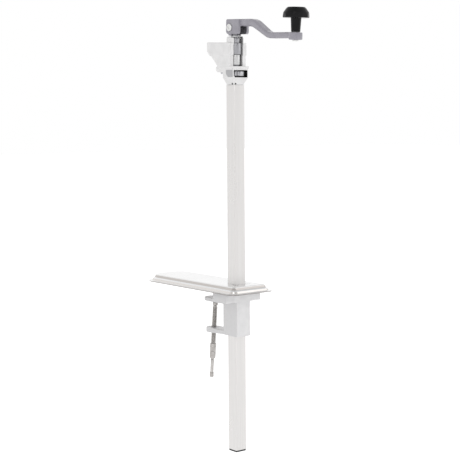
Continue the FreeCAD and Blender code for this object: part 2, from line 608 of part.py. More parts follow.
def make_bowed_washer():
    """Spring washer bent to an arch that is highest along Y."""
    arch_radius, sheet, crown = 52.0, 1.0, BOSS_TOP_Z + 2.6
    centre = Vector(0, -30, crown - arch_radius)
    arch = Part.makeCylinder(arch_radius, 60, centre, Y_AXIS)
    arch = arch.cut(Part.makeCylinder(arch_radius - sheet, 60, centre, Y_AXIS))
    return arch.common(ring(BOSS_RADIUS - 0.5, JOURNAL_RADIUS + 0.35, BOSS_TOP_Z - 5, BOSS_TOP_Z + 5))


# ---- crank ------------------------------------------------------------------------------------
# The crank is drawn level, with its hinge pin at the origin and its arm along -Y.
def on_crank(shape):
    """Put a piece drawn about the pin in its place on the resting crank."""
    shape.rotate(Vector(0, 0, 0), X_AXIS, DROOP)
    shape.translate(Vector(0, 0, PIN_Z))
    return shape


def arm_edge(side):
    """Points and arc middles of the arm's upper edge (side 1) or lower edge (side -1)."""
    root_offset = side * ARM_ROOT_HALF
    tip_offset = side * ARM_TIP_HALF
    bend = math.radians(BEND_ANGLE)
    drop = ARM_ROOT_Z - ARM_TIP_Z
    straight = (drop * 2 * math.sin(bend) - BEND_RUN * 2 * (1 - math.cos(bend))) / (
        math.sin(bend) * 2 * math.sin(bend) - math.cos(bend) * 2 * (1 - math.cos(bend)))
    radius = (BEND_RUN - straight * math.cos(bend)) / (2 * math.sin(bend))
    first_centre = (-BEND_START, ARM_ROOT_Z - radius)
    last_centre = (-BEND_START - BEND_RUN, ARM_TIP_Z + radius)

    def on_first(angle):
        reach = radius + root_offset
        return (first_centre[0] - reach * math.sin(angle), first_centre[1] + reach * math.cos(angle))

    def on_last(angle):
        reach = radius - tip_offset
        return (last_centre[0] + reach * math.sin(angle), last_centre[1] - reach * math.cos(angle))

    return {"start": (CLEVIS_FRONT + 6.0, ARM_ROOT_Z + root_offset),
            "first": [on_first(0), on_first(bend / 2), on_first(bend)],
            "last": [on_last(bend), on_last(bend / 2), on_last(0)],
            "end": (-CRANK_LENGTH + 6.6, ARM_TIP_Z + tip_offset)}


def edge_curves(edge):
    def point(pair):
        return Vector(0, pair[0], pair[1])
    first = [point(pair) for pair in edge["first"]]
    last = [point(pair) for pair in edge["last"]]
    return [Part.LineSegment(point(edge["start"]), first[0]).toShape(), Part.Arc(*first).toShape(),
            Part.LineSegment(first[2], last[0]).toShape(), Part.Arc(*last).toShape(),
            Part.LineSegment(last[2], point(edge["end"])).toShape()]


def make_arm_bar():
    top = arm_edge(1)
    bottom = arm_edge(-1)
    ends = [Part.LineSegment(Vector(0, *top[name]), Vector(0, *bottom[name])).toShape()
            for name in ("start", "end")]
    edges = edge_curves(top) + edge_curves(bottom) + ends
    wire = Part.Wire(Part.__sortEdges__(edges))
    wire.translate(Vector(-ARM_HALF_X, 0, 0))
    bar = Part.Face(wire).extrude(Vector(2 * ARM_HALF_X, 0, 0))
    long_edges = [edge for edge in bar.Edges
                  if edge.BoundBox.XLength < 0.01 and edge.BoundBox.YLength > 1.0]
    return bar.makeChamfer(ARM_CHAMFER, long_edges)


def make_clevis():
    """Inverted channel whose cheeks hang on both sides of the arbor's tongue."""
    outline = [(CLEVIS_BACK, CLEVIS_BOTTOM), (CLEVIS_BACK, CLEVIS_TOP), (CLEVIS_FRONT, CLEVIS_TOP),
               (CLEVIS_FRONT, CLEVIS_BOTTOM)]
    body = side_prism(outline, -CLEVIS_HALF_X, CLEVIS_HALF_X)
    for radius, y, z in ((5.0, CLEVIS_BACK, CLEVIS_BOTTOM), (3.0, CLEVIS_FRONT, CLEVIS_BOTTOM),
                         (2.5, CLEVIS_BACK, CLEVIS_TOP)):
        corner = [edge for edge in body.Edges if edge.BoundBox.XLength > 1
                  and edge.BoundBox.Center.distanceToPoint(Vector(0, y, z)) < 0.01]
        body = body.makeFillet(radius, corner)
    return body


def make_crank_arm():
    cam = bar_along_x(CAM_RADIUS, -CLEVIS_HALF_X, CLEVIS_HALF_X, 0.0, 0.0)
    cam = cam.common(box(-20, 20, -CAM_HALF_Y, CAM_HALF_Y, -20, 0))
    boss = disc(ARM_BOSS_RADIUS, ARM_BOSS_Z - ARM_BOSS_HALF, ARM_BOSS_Z + ARM_BOSS_HALF, 0.0, -CRANK_LENGTH)
    boss = boss.makeFillet(1.2, [edge for edge in boss.Edges if edge.BoundBox.ZLength < 0.01])
    arm = make_clevis().fuse([make_arm_bar(), cam, boss])
    slot_back = side_prism([(20, -20), (20, 6.3), (-13, 6.3), (-13, -20)], -SLOT_HALF_X, SLOT_HALF_X)
    slot_front = side_prism([(-12, -20), (-12, 2.0), (-30, 2.0), (-30, -20)], -SLOT_HALF_X, SLOT_HALF_X)
    pin_hole = bar_along_x(PIN_RADIUS, -20, 20, 0.0, 0.0)
    spindle_hole = disc(SPINDLE_RADIUS, ARM_BOSS_Z - 9, ARM_BOSS_Z + 9, 0.0, -CRANK_LENGTH)
    return on_crank(arm.cut([slot_back, slot_front, pin_hole, spindle_hole]).removeSplitter())


def make_crank_pin():
    """Tubular rivet with a domed head on each cheek."""
    half = CLEVIS_HALF_X + SEAT_GAP
    shank = bar_along_x(PIN_RADIUS - SEAT_GAP, -half, half, 0.0, 0.0)
    pieces = []
    for side in (-1, 1):
        head = Part.makeCylinder(5.8, 2.2, Vector(side * half, 0, 0), X_AXIS * side)
        rim = [edge for edge in head.Edges
               if abs(edge.BoundBox.XMin) > half + 1 and edge.BoundBox.XLength < 0.01]
        head = head.makeFillet(1.4, rim)
        dimple = Part.makeCylinder(2.4, 2.0, Vector(side * (half + 1.2), 0, 0), X_AXIS * side)
        pieces.append(head.cut(dimple))
    return on_crank(shank.fuse(pieces))


# ---- knob -------------------------------------------------------------------------------------
NUT_RECESS_RADIUS = 6.6
NUT_RECESS_BOTTOM = CAP_TOP - 8.0
COVER_RADIUS = 11.0
COVER_HEIGHT = 2.0


def at_knob(shape):
    shape.translate(Vector(0, -CRANK_LENGTH, 0))
    return on_crank(shape)


def make_knob_grip():
    """Mushroom knob: a tapered stem and a faceted cap, bored for its spindle."""
    shoulder = CAP_TOP - 7.5
    profile = turned([(0, KNOB_BOTTOM), (STEM_BOTTOM_RADIUS, KNOB_BOTTOM), (STEM_TOP_RADIUS, CAP_BOTTOM),
                      (KNOB_RADIUS - 0.6, CAP_BOTTOM), (KNOB_RADIUS, CAP_BOTTOM + 1.0),
                      (KNOB_RADIUS - 0.9, shoulder), (KNOB_RADIUS - 4.6, CAP_TOP - 2.2),
                      (COVER_RADIUS + 1.6, CAP_TOP), (0, CAP_TOP)])
    points = [Vector(KNOB_RADIUS * math.cos(turn * 2 * math.pi / KNOB_FACETS),
                     KNOB_RADIUS * math.sin(turn * 2 * math.pi / KNOB_FACETS), KNOB_BOTTOM - 1)
              for turn in range(KNOB_FACETS)]
    outline = Part.Face(Part.makePolygon(points + points[:1]))
    facets = outline.extrude(Vector(0, 0, CAP_TOP - KNOB_BOTTOM + 2))
    cuts = [disc(SPINDLE_RADIUS + RUNNING_GAP, KNOB_BOTTOM - 1, CAP_TOP + 1),
            disc(NUT_RECESS_RADIUS, NUT_RECESS_BOTTOM, CAP_TOP + 1),
            disc(COVER_RADIUS + SEAT_GAP, CAP_TOP - COVER_HEIGHT, CAP_TOP + 1)]
    return at_knob(profile.common(facets).cut(cuts))


def make_knob_cap():
    cover = disc(COVER_RADIUS, CAP_TOP - COVER_HEIGHT, CAP_TOP - 0.1)
    top_edges = [edge for edge in cover.Edges if edge.BoundBox.ZMin > CAP_TOP - 0.5]
    return at_knob(cover.makeFillet(0.5, top_edges))


def make_knob_spindle():
    """Shouldered stud riveted into the arm, with a round head underneath."""
    under = ARM_BOSS_Z - ARM_BOSS_HALF
    head = disc(4.4, under - 2.0, under - SEAT_GAP)
    head = head.makeFillet(1.2, [edge for edge in head.Edges if edge.BoundBox.ZMax < under - 1.9])
    stud = disc(SPINDLE_RADIUS - SEAT_GAP, under - SEAT_GAP, NUT_RECESS_BOTTOM + 4.6)
    return at_knob(head.fuse(stud))


def make_knob_washer():
    top_face = ARM_BOSS_Z + ARM_BOSS_HALF
    return at_knob(ring(6.3, SPINDLE_RADIUS, top_face, KNOB_BOTTOM - 0.1))


def make_knob_nut():
    bottom = NUT_RECESS_BOTTOM + 0.3
    nut = hexagon_prism(5.2, bottom, bottom + 4.0, 0.0, 0.0)
    return at_knob(nut.cut(disc(SPINDLE_RADIUS, bottom - 1, bottom + 5)))


# ---- write every part ---------------------------------------------------------------------------
PARTS = {
    "clamp_casting": make_clamp_casting,
    "sleeve_liner": make_sleeve_liner,
    "base_plate": make_base_plate,
    "plate_screws": make_plate_screws,
    "plate_weld_nuts": make_plate_weld_nuts,
    "screw_pad": make_screw_pad,
    "clamp_screw": make_clamp_screw,
    "handle_pin": make_handle_pin,
    "clamp_handle": make_clamp_handle,
    "handle_end_cap": make_handle_end_cap,
    "post_tube": make_post_tube,
    "post_end_cap": make_post_end_cap,
    "post_spigot": make_post_spigot,
    "head_casting": make_head_casting,
    "head_set_screws": make_head_set_screws,
    "knife_blade": make_knife_blade,
    "knife_screws": make_knife_screws,
    "lower_bushing": make_lower_bushing,
    "upper_bushing": make_upper_bushing,
    "arbor_shaft": make_arbor_shaft,
    "arbor_spacer": make_arbor_spacer,
    "drive_gear": make_drive_gear,
    "gear_pin": make_gear_pin,
    "bowed_washer": make_bowed_washer,
    "crank_arm": make_crank_arm,
    "crank_pin": make_crank_pin,
    "knob_spindle": make_knob_spindle,
    "knob_washer": make_knob_washer,
    "knob_nut": make_knob_nut,
    "knob_grip": make_knob_grip,
    "knob_cap": make_knob_cap,
}

os.makedirs("parts", exist_ok=True)
for node, make in PARTS.items():
    shape = make()
    shape.translate(Vector(0, -TABLE_FACE_Y, -TABLE_FACE_Z))
    if not shape.isValid() or shape.Volume <= 0:
        raise ValueError(node + " is not a valid solid")
    shape.exportStep("parts/" + node + ".step")
    print(node, len(shape.Solids), "solids", round(shape.Volume), "mm3")
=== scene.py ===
import json
import math

import bmesh
import bpy
from mathutils import Matrix, Vector


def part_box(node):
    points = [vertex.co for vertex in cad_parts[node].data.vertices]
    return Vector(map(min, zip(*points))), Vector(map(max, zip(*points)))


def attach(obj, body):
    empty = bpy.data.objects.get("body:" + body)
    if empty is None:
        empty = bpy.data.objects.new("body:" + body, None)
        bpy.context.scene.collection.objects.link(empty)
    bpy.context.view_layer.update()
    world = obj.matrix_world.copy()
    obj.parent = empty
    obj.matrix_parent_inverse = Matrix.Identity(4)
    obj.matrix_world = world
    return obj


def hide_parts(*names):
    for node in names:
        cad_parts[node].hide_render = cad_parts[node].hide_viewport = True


# Looks for a table-clamp can opener, in metres, in the frame of the CAD model.
# CAD nodes with the right shape stay and get a material and eased edges.  The castings, the
# knob and the clamp screw's fork are softened copies of the CAD shapes.  The pressed plate and
# the screw's thread are drawn here to the CAD sizes.

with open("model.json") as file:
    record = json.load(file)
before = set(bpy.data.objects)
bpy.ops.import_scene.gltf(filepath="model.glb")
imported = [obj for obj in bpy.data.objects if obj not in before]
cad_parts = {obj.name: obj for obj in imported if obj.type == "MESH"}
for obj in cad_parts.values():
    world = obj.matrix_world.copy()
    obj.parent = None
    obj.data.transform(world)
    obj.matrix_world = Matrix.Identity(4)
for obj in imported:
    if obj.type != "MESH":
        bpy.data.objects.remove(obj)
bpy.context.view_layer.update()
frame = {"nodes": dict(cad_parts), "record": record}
NODES = frame["nodes"]
MM = 0.001


def middle(node):
    """Middle of a CAD node's box."""
    low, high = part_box(node)
    return (Vector(low) + Vector(high)) / 2


TUBE = middle("post_tube")
GEAR = Vector((TUBE.x, TUBE.y, middle("drive_gear").z))
CRANK_PIN = Vector((TUBE.x, TUBE.y, middle("crank_pin").z))
SCREW_LEAN = math.radians(5.4)
SCREW_FRAME = Matrix.Translation(middle("handle_pin")) @ Matrix.Rotation(SCREW_LEAN, 4, "X")


# ---- shader helper ------------------------------------------------------------------------
def remap(tree, source, from_low, from_high, low, high):
    """Map source from one range onto another, and hold it at the ends."""
    node = tree.nodes.new("ShaderNodeMapRange")
    node.inputs["From Min"].default_value = from_low
    node.inputs["From Max"].default_value = from_high
    node.inputs["To Min"].default_value = low
    node.inputs["To Max"].default_value = high
    tree.links.new(source, node.inputs["Value"])
    return node.outputs["Result"]


def multiply(tree, first, second):
    """Product of two values."""
    node = tree.nodes.new("ShaderNodeMath")
    node.operation = "MULTIPLY"
    tree.links.new(first, node.inputs[0])
    tree.links.new(second, node.inputs[1])
    return node.outputs["Value"]


class Finish:
    """A Principled material with short calls for the nodes that give it its detail."""

    def __init__(self, name, color, roughness, metallic=0.0, coat=0.0):
        self.material = bpy.data.materials.new(name)
        self.material.use_nodes = True
        self.tree = self.material.node_tree
        self.shader = self.tree.nodes["Principled BSDF"]
        self.shader.inputs["Base Color"].default_value = (*color, 1.0)
        self.shader.inputs["Roughness"].default_value = roughness
        self.shader.inputs["Metallic"].default_value = metallic
        self.shader.inputs["Coat Weight"].default_value = coat
        self.shader.inputs["Coat Roughness"].default_value = 0.12
        self.place = self.tree.nodes.new("ShaderNodeTexCoord").outputs["Object"]
        self.normal = None

    def link(self, output, node_input):
        """Join two sockets."""
        self.tree.links.new(output, node_input)

    def noise(self, grain, detail=3.0, stretch=(1.0, 1.0, 1.0)):
        """Noise whose blobs are about grain metres across, drawn out by stretch."""
        mapping = self.tree.nodes.new("ShaderNodeMapping")
        mapping.inputs["Scale"].default_value = [1.0 / (grain * part) for part in stretch]
        self.link(self.place, mapping.inputs["Vector"])
        noise = self.tree.nodes.new("ShaderNodeTexNoise")
        noise.inputs["Scale"].default_value = 1.0
        noise.inputs["Detail"].default_value = detail
        self.link(mapping.outputs["Vector"], noise.inputs["Vector"])
        return noise.outputs["Fac"]

    def spread(self, source, low, high, from_low=0.3, from_high=0.7):
        """Map a value onto low to high; the range it comes from is by default a noise's."""
        return remap(self.tree, source, from_low, from_high, low, high)

    def blend(self, source, dark, light):
        """Base color that runs from dark to light with source."""
        node = self.tree.nodes.new("ShaderNodeMix")
        node.data_type = "RGBA"
        node.inputs["A"].default_value = (*dark, 1.0)
        node.inputs["B"].default_value = (*light, 1.0)
        self.link(source, node.inputs["Factor"])
        self.link(node.outputs["Result"], self.shader.inputs["Base Color"])

    def zone(self, centre, low, high, soft):
        """1 inside a box given in millimetres from centre, 0 outside, with an edge soft wide."""
        split = self.tree.nodes.new("ShaderNodeSeparateXYZ")
        self.link(self.place, split.inputs["Vector"])
        inside = None
        for axis in range(3):
            for offset, inward in ((low[axis], soft), (high[axis], -soft)):
                wall = centre[axis] + offset * MM
                side = self.spread(split.outputs[axis], 0.0, 1.0, wall, wall + inward * MM)
                inside = side if inside is None else multiply(self.tree, inside, side)
        return inside

    def facing_sideways(self):
        """1 on faces that look along X, 0 on faces that look along Y or Z."""
        split = self.tree.nodes.new("ShaderNodeSeparateXYZ")
        self.link(self.tree.nodes.new("ShaderNodeTexCoord").outputs["Normal"], split.inputs["Vector"])
        squared = multiply(self.tree, split.outputs["X"], split.outputs["X"])
        return self.spread(squared, 0.0, 1.0, 0.5, 0.9)

    def cover(self, amount, color):
        """Lay color over whatever feeds the base color, by amount."""
        source = self.shader.inputs["Base Color"].links[0].from_socket
        mix = self.tree.nodes.new("ShaderNodeMix")
        mix.data_type = "RGBA"
        mix.inputs["B"].default_value = (*color, 1.0)
        self.link(amount, mix.inputs["Factor"])
        self.link(source, mix.inputs["A"])
        self.link(mix.outputs["Result"], self.shader.inputs["Base Color"])

    def crevices(self, color, reach, strength):
        """Corners that are shaded by something within reach metres show color."""
        nearby = self.tree.nodes.new("ShaderNodeAmbientOcclusion")
        nearby.inputs["Distance"].default_value = reach
        nearby.samples = 4
        self.cover(self.spread(nearby.outputs["AO"], strength, 0.0, 0.2, 0.8), color)

    def rough(self, source, low, high):
        """Roughness that runs from low to high with source."""
        self.link(self.spread(source, low, high), self.shader.inputs["Roughness"])

    def bump(self, height, depth):
        """Relief of about depth metres, on top of any relief before it."""
        node = self.tree.nodes.new("ShaderNodeBump")
        node.inputs["Distance"].default_value = depth
        node.inputs["Strength"].default_value = 1.0
        self.link(height, node.inputs["Height"])
        if self.normal is not None:
            self.link(self.normal, node.inputs["Normal"])
        self.normal = node.outputs["Normal"]
        self.link(self.normal, self.shader.inputs["Normal"])

    def worn_edges(self, color, strength=0.8):
        """Edges that stick out show color."""
        geometry = self.tree.nodes.new("ShaderNodeNewGeometry")
        self.cover(self.spread(geometry.outputs["Pointiness"], 0.0, strength, 0.53, 0.60), color)


# ---- materials ----------------------------------------------------------------------------
def silver_casting(name, dark, light, roughness):
    """Shot-blasted casting under a clear lacquer."""
    finish = Finish(name, light, roughness, metallic=0.55, coat=0.1)
    cloud = finish.noise(0.012, 4.0)
    finish.blend(finish.spread(cloud, 0.0, 1.0), dark, light)
    finish.worn_edges([min(1.0, part * 1.08) for part in light])
    finish.rough(finish.noise(0.004, 2.0), roughness - 0.07, roughness + 0.08)
    finish.bump(finish.noise(0.0009, 4.0), 0.00009)
    finish.bump(finish.noise(0.006, 2.0), 0.00012)
    return finish


def clamp_casting_finish():
    """Silver casting with painted shade in its corners and on the sides that look along X."""
    finish = silver_casting("cast_clamp", (0.68, 0.675, 0.68), (0.745, 0.74, 0.745), 0.46)
    # Painted shade: corners near other parts are darkened by ambient occlusion.
    finish.crevices((0.16, 0.155, 0.16), 0.02, 0.85)
    # Painted shade: faces that look along X are darker.
    finish.cover(finish.facing_sideways(), (0.61, 0.605, 0.61))
    return finish.material


def head_casting_finish():
    """Silver casting with painted shade: a nearly black gear pocket and a darker side shield."""
    finish = silver_casting("cast_head", (0.69, 0.685, 0.685), (0.755, 0.75, 0.75), 0.42)
    # Painted shade on the side shield.
    shield = finish.zone(GEAR, (-15.5, -13.0, -5.3), (-14.9, 4.0, 6.0), 0.1)
    finish.cover(shield, (0.42, 0.42, 0.43))
    # Painted shade: the gear pocket is nearly black.
    pocket = finish.zone(GEAR, (-14.2, -13.3, -6.2), (14.2, 12.0, 6.0), 0.3)
    finish.cover(pocket, (0.012, 0.011, 0.010))
    return finish.material


def drawn_tube():
    """Satin plated tube with faint draw marks along its length."""
    finish = Finish("drawn_tube", (0.76, 0.745, 0.735), 0.3, metallic=0.75)
    marks = finish.noise(0.0006, 3.0, (1.0, 1.0, 260.0))
    finish.blend(finish.spread(marks, 0.0, 1.0), (0.69, 0.675, 0.665), (0.76, 0.745, 0.735))
    finish.rough(finish.noise(0.02, 3.0, (1.0, 1.0, 4.0)), 0.26, 0.38)
    finish.bump(marks, 0.00002)
    return finish.material


# Painted shade along the rim and painted reflections on the folds, as bands: start and end in
# millimetres above the rim, and colour.
SHEET_BANDS = (
    (-0.3, 1.0, (0.20, 0.17, 0.155)),
    (1.5, 4.6, (0.72, 0.69, 0.67)),
    (6.2, 9.8, (0.55, 0.52, 0.50)),
)


def polished_sheet():
    """Polished stainless sheet with fine wiping marks, painted shade at its rim and painted reflections
    on its folds.
    """
    finish = Finish("polished_sheet", (0.86, 0.86, 0.865), 0.12, metallic=1.0)
    wipes = finish.noise(0.0005, 3.0, (1.0, 90.0, 1.0))
    finish.blend(finish.spread(wipes, 0.0, 1.0), (0.80, 0.80, 0.80), (0.87, 0.87, 0.87))
    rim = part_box("base_plate")[0][2]
    # Painted shade and painted reflections, one band at a time.
    for start, end, color in SHEET_BANDS:
        band = finish.zone((0.0, 0.0, rim), (-300.0, -300.0, start), (300.0, 300.0, end), 0.3)
        finish.cover(band, color)
    finish.rough(finish.noise(0.03, 4.0), 0.09, 0.2)
    finish.bump(wipes, 0.000006)
    finish.bump(finish.noise(0.05, 1.0), 0.00015)
    return finish.material


def plated_steel(name, color, roughness, grain=0.002):
    """Plated steel with cloudy patches and a faint unevenness."""
    finish = Finish(name, color, roughness, metallic=1.0)
    patches = finish.noise(grain * 3, 4.0)
    dark = [part * 0.86 for part in color]
    finish.blend(finish.spread(patches, 0.0, 1.0), dark, color)
    finish.rough(finish.noise(grain, 3.0), roughness - 0.06, roughness + 0.1)
    finish.bump(finish.noise(grain * 0.3, 3.0), 0.00002)
    return finish.material


def screw_with_painted_shade():
    """Bright screw steel with painted shade in its hollows, brighter along its edges."""
    finish = Finish("bright_screw", (0.52, 0.50, 0.485), 0.22, metallic=1.0)
    patches = finish.noise(0.006, 4.0)
    finish.blend(finish.spread(patches, 0.0, 1.0), (0.42, 0.40, 0.385), (0.52, 0.50, 0.485))
    # Painted shade: the thread's hollows are darkened by ambient occlusion.
    finish.crevices((0.05, 0.045, 0.04), 0.004, 0.9)
    finish.worn_edges((0.86, 0.84, 0.82))
    finish.rough(finish.noise(0.002, 3.0), 0.16, 0.32)
    finish.bump(finish.noise(0.0006, 3.0), 0.00002)
    return finish.material


def turned_steel(name, color, roughness):
    """Steel with fine rings left by the lathe round an upright axis."""
    finish = Finish(name, color, roughness, metallic=1.0)
    rings = finish.noise(0.00035, 2.0, (60.0, 60.0, 1.0))
    dark = [part * 0.8 for part in color]
    finish.blend(finish.spread(rings, 0.0, 1.0), dark, color)
    finish.rough(finish.noise(0.003, 3.0), roughness - 0.05, roughness + 0.1)
    finish.bump(rings, 0.00002)
    return finish.material


def stove_enamel():
    """Semi-gloss grey enamel over a rough casting, thin on the edges, with painted shade inside the
    clevis.
    """
    finish = Finish("stove_enamel", (0.27, 0.26, 0.295), 0.34, coat=0.35)
    cloud = finish.noise(0.01, 4.0)
    finish.blend(finish.spread(cloud, 0.0, 1.0), (0.245, 0.235, 0.27), (0.30, 0.29, 0.325))
    finish.worn_edges((0.46, 0.45, 0.49))
    # Painted shade: the inside of the clevis is nearly black.
    slot = finish.zone(CRANK_PIN, (-6.2, -21.2, -13.0), (6.2, 10.0, 2.4), 0.3)
    finish.cover(slot, (0.03, 0.03, 0.033))
    finish.rough(finish.noise(0.003, 3.0), 0.27, 0.42)
    finish.bump(finish.noise(0.0011, 3.0), 0.0001)
    finish.bump(finish.noise(0.007, 2.0), 0.0002)
    return finish.material


def moulded_plastic(name, color, roughness, grain, depth, shine=0.5):
    """Plastic with a slightly uneven colour and a fine texture from the mould."""
    finish = Finish(name, color, roughness)
    finish.shader.inputs["Specular IOR Level"].default_value = shine
    cloud = finish.noise(grain * 8, 3.0)
    light = [part * 1.5 + 0.004 for part in color]
    finish.blend(finish.spread(cloud, 0.0, 1.0), color, light)
    finish.rough(finish.noise(grain * 4, 3.0), roughness * 0.75, roughness * 1.4)
    finish.bump(finish.noise(grain, 2.0), depth)
    return finish.material


MATERIALS = {
    "cast_clamp": clamp_casting_finish(),
    "cast_head": head_casting_finish(),
    "tube_steel": drawn_tube(),
    "plate_steel": polished_sheet(),
    "screw_steel": screw_with_painted_shade(),
    "fastener_steel": plated_steel("zinc_plate", (0.78, 0.78, 0.77), 0.28),
    "dark_steel": plated_steel("black_oxide", (0.06, 0.06, 0.065), 0.42),
    "tool_steel": plated_steel("ground_steel", (0.56, 0.56, 0.58), 0.3, 0.001),
    "bearing_steel": turned_steel("turned_steel", (0.42, 0.42, 0.44), 0.3),
    "spring_steel": plated_steel("spring_steel", (0.66, 0.66, 0.66), 0.3),
    "arm_paint": stove_enamel(),
    "black_gloss": moulded_plastic("black_gloss", (0.006, 0.006, 0.0065), 0.16, 0.002, 0.00003,
                                   shine=0.12),
    "black_matte": moulded_plastic("black_matte", (0.02, 0.02, 0.021), 0.5, 0.0006, 0.00004, shine=0.3),
    "nylon": moulded_plastic("nylon", (0.62, 0.61, 0.57), 0.45, 0.0012, 0.00003),
}
RECORD = frame["record"]
SLOT_OF = {entry["node"]: entry["material_slot"] for entry in RECORD["subparts"]}
BODY_OF = {node: body for body, nodes in RECORD["behaviour"]["bodies"].items() for node in nodes}


# ---- pieces -------------------------------------------------------------------------------
WELD_REACH = 0.000002
EASE = 0.25 * MM              # bevel on the edges of the CAD nodes that stay
# The castings and the knob: voxel size, smoothing passes, and the share of triangles kept.
SOFTENED = {
    "head_casting": (0.42 * MM, 5, 0.4),
    "clamp_casting": (0.6 * MM, 5, 0.4),
    "crank_arm": (0.42 * MM, 5, 0.4),
    "knob_grip": (0.4 * MM, 8, 0.4),
}


def add_piece(name, mesh, node):
    """Show mesh instead of a CAD node, on its body and in its slot."""
    piece = bpy.data.objects.new(name, mesh)
    bpy.context.scene.collection.objects.link(piece)
    mesh.materials.clear()
    mesh.materials.append(MATERIALS[SLOT_OF[node]])
    mesh.polygons.foreach_set("use_smooth", [True] * len(mesh.polygons))
    mesh.polygons.foreach_set("material_index", [0] * len(mesh.polygons))
    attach(piece, BODY_OF[node])
    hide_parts(node)
    return piece


def applied(source, *modifiers):
    """Copy of an object's mesh with modifiers, given as (type, settings), worked in."""
    work = bpy.data.objects.new("work", source.data.copy())
    bpy.context.scene.collection.objects.link(work)
    for kind, settings in modifiers:
        modifier = work.modifiers.new(kind, kind)
        for setting, value in settings.items():
            setattr(modifier, setting, value)
    graph = bpy.context.evaluated_depsgraph_get()
    mesh = bpy.data.meshes.new_from_object(work.evaluated_get(graph))
    bpy.data.objects.remove(work)
    return mesh


def softened(node, voxel, passes, keep):
    """A casting's mesh: every edge and inner corner of the CAD shape is rounded a little."""
    return applied(NODES[node],
                   ("WELD", {"merge_threshold": WELD_REACH}),
                   ("REMESH", {"mode": "VOXEL", "voxel_size": voxel}),
                   ("SMOOTH", {"factor": 0.5, "iterations": passes}),
                   ("DECIMATE", {"ratio": keep}))


def carry(node):
    """Keep a CAD node, with its own material and edges eased by a small bevel."""
    piece = NODES[node]
    for slot in piece.material_slots:
        slot.material = MATERIALS[SLOT_OF[node]]
    weld = piece.modifiers.new("weld", "WELD")
    weld.merge_threshold = WELD_REACH
    flat = piece.modifiers.new("flat", "DECIMATE")
    flat.decimate_type = "DISSOLVE"
    flat.angle_limit = math.radians(0.5)
    bevel = piece.modifiers.new("ease", "BEVEL")
    bevel.width = EASE
    bevel.segments = 2
    bevel.limit_method = "ANGLE"
    bevel.angle_limit = math.radians(40)
    bevel.harden_normals = True
    piece.data.polygons.foreach_set("use_smooth", [True] * len(piece.data.polygons))


def mesh_from(name, points, faces):
    mesh = bpy.data.meshes.new(name)
    mesh.from_pydata(points, [], faces)
    mesh.validate()
    shape = bmesh.new()
    shape.from_mesh(mesh)
    bmesh.ops.recalc_face_normals(shape, faces=shape.faces)
    shape.to_mesh(mesh)
    shape.free()
    return mesh


def skin(rings, closed_ends=True):
    """Points and quads over a stack of rings with the same number of points."""
    count = len(rings[0])
    points = [point for loop in rings for point in loop]
    faces = []
    for row in range(len(rings) - 1):
        for step in range(count):
            after = (step + 1) % count
            faces.append((row * count + step, row * count + after,
                          (row + 1) * count + after, (row + 1) * count + step))
    if closed_ends:
        faces.append(tuple(range(count)))
        faces.append(tuple(range(len(points) - count, len(points))))
    return points, faces


# ---- pressed plate ------------------------------------------------------------------------
SHEET = 1.2                  # thickness; this section's sizes are in millimetres
FRONT_CORNER = 15.0
BACK_CORNER = 33.0
POST_HOLE_HALF = 10.5
CORNER_STEPS = 24             # an even number, because the post hole's corner is half way
OUTSIDE_FOLD = ((5.0, SHEET), (7.0, 5.2), (9.0, 6.0))        # inset and height above the rim
INSIDE_FOLD = ((10.2, 4.8), (8.2, 4.0), (6.4, 0.0))


def plate_ring(inset, height):
    """Outline of the plate, moved in by inset, at a height above the rim."""
    low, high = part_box("base_plate")
    centres = [(low[0], low[1], 180, FRONT_CORNER), (high[0], low[1], 270, FRONT_CORNER),
               (high[0], high[1], 0, BACK_CORNER), (low[0], high[1], 90, BACK_CORNER)]
    ring = []
    for x, y, start, radius in centres:
        inward_x = 1 if x == low[0] else -1
        inward_y = 1 if y == low[1] else -1
        for step in range(CORNER_STEPS + 1):
            angle = math.radians(start + 90 * step / CORNER_STEPS)
            ring.append((x + (inward_x * radius + (radius - inset) * math.cos(angle)) * MM,
                         y + (inward_y * radius + (radius - inset) * math.sin(angle)) * MM,
                         low[2] + height * MM))
    return ring


def post_hole_ring(height):
    """Square round the post with one point for each point of a plate ring, in the same order."""
    corners = [((-1, -1), (0, 1), (1, 0)), ((1, -1), (-1, 0), (0, 1)),
               ((1, 1), (0, -1), (-1, 0)), ((-1, 1), (1, 0), (0, -1))]
    half = POST_HOLE_HALF * MM
    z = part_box("base_plate")[0][2] + height * MM
    ring = []
    for corner, before, after in corners:
        for step in range(CORNER_STEPS + 1):
            from_corner = step - CORNER_STEPS // 2
            side = before if from_corner < 0 else after
            reach = abs(from_corner) / (CORNER_STEPS / 2 + 0.5)
            ring.append((TUBE.x + half * (corner[0] + side[0] * reach),
                         TUBE.y + half * (corner[1] + side[1] * reach), z))
    return ring


def rounded_profile(corners, radius):
    """Replace each inner corner of a profile with a short curve."""
    profile = [corners[0]]
    for before, corner, after in zip(corners, corners[1:], corners[2:]):
        a, b, c = Vector(before), Vector(corner), Vector(after)
        reach = min(radius, (a - b).length * 0.48, (c - b).length * 0.48)
        start = b + (a - b).normalized() * reach
        end = b + (c - b).normalized() * reach
        for step in range(6):
            t = step / 5
            profile.append(tuple(start * (1 - t) ** 2 + b * 2 * t * (1 - t) + end * t ** 2))
    profile.append(corners[-1])
    return profile


